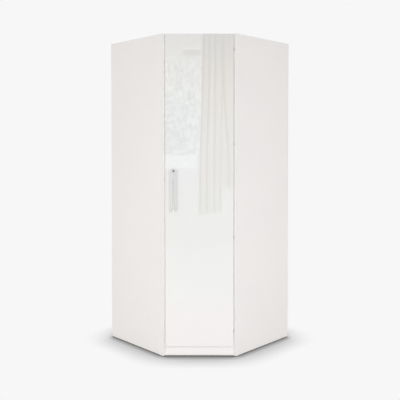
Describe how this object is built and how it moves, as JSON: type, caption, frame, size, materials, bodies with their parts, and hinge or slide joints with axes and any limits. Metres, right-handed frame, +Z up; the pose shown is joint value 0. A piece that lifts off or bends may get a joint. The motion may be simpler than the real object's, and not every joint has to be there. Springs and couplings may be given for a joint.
{
  "type": "corner wardrobe",
  "caption": "Corner wardrobe with a tall hinged door across its angled front, a hat shelf and a hanging rail inside; it stands against two walls.",
  "frame": {"origin": "middle of the bounding box seen from above, on the floor", "axes": "+Z up; the door faces -Y; +X to the right of someone who faces the door; the two walls behind run at 45 degrees to X and Y"},
  "size_m": [1.2632, 1.0538, 2.1],
  "materials": {
    "board": "white melamine faced chipboard, satin",
    "gloss": "white faced chipboard, high gloss",
    "chrome": "polished",
    "nickel": "nickel plated, satin",
    "steel": "zinc plated",
    "hardboard": "bare brown hardboard on the wall side, white inside",
    "plastic": "satin",
    "felt": "felt"
  },
  "bodies": {
    "carcass": {"left_end_panel": "board", "right_end_panel": "board", "top_panel": "board", "base_panel": "board", "hat_shelf": "board", "plinth_board": "gloss", "rear_corner_post": "board", "left_back_lower": "hardboard", "left_back_upper": "hardboard", "right_back_lower": "hardboard", "right_back_upper": "hardboard", "left_back_joint_strip": "plastic", "right_back_joint_strip": "plastic", "hanging_rail": "chrome", "rail_bracket_left": "chrome", "rail_bracket_right": "chrome", "shelf_support_left_front": "nickel", "shelf_support_left_rear": "nickel", "shelf_support_left_post": "nickel", "shelf_support_right_front": "nickel", "shelf_support_right_rear": "nickel", "shelf_support_right_post": "nickel", "top_cam_left_front": "nickel", "top_cam_left_rear": "nickel", "top_cam_right_front": "nickel", "top_cam_right_rear": "nickel", "base_cam_left_front": "nickel", "base_cam_left_rear": "nickel", "base_cam_right_front": "nickel", "base_cam_right_rear": "nickel", "glide_left_front": "plastic", "glide_left_rear": "plastic", "glide_right_front": "plastic", "glide_right_rear": "plastic", "centre_leg": "plastic", "rear_leg": "plastic", "plinth_bracket_left": "steel", "plinth_bracket_right": "steel", "door_bumper_lower": "felt", "door_bumper_upper": "felt", "hinge_arm_1": "nickel", "hinge_arm_2": "nickel", "hinge_arm_3": "nickel", "hinge_arm_4": "nickel", "hinge_plate_1": "nickel", "hinge_plate_2": "nickel", "hinge_plate_3": "nickel", "hinge_plate_4": "nickel"},
    "door": {"door_panel": "gloss", "handle": "chrome", "handle_screw_lower": "steel", "handle_screw_upper": "steel", "hinge_cup_1": "nickel", "hinge_cup_2": "nickel", "hinge_cup_3": "nickel", "hinge_cup_4": "nickel", "hinge_pin_1": "steel", "hinge_pin_2": "steel", "hinge_pin_3": "steel", "hinge_pin_4": "steel"}
  },
  "joints": [
    {"name": "door_hinge", "type": "hinge", "parent": "carcass", "child": "door", "pos_m": [0.21317, -0.4883, 0], "axis": [0, 0, 1], "range_deg": [0, 95]}
  ]
}
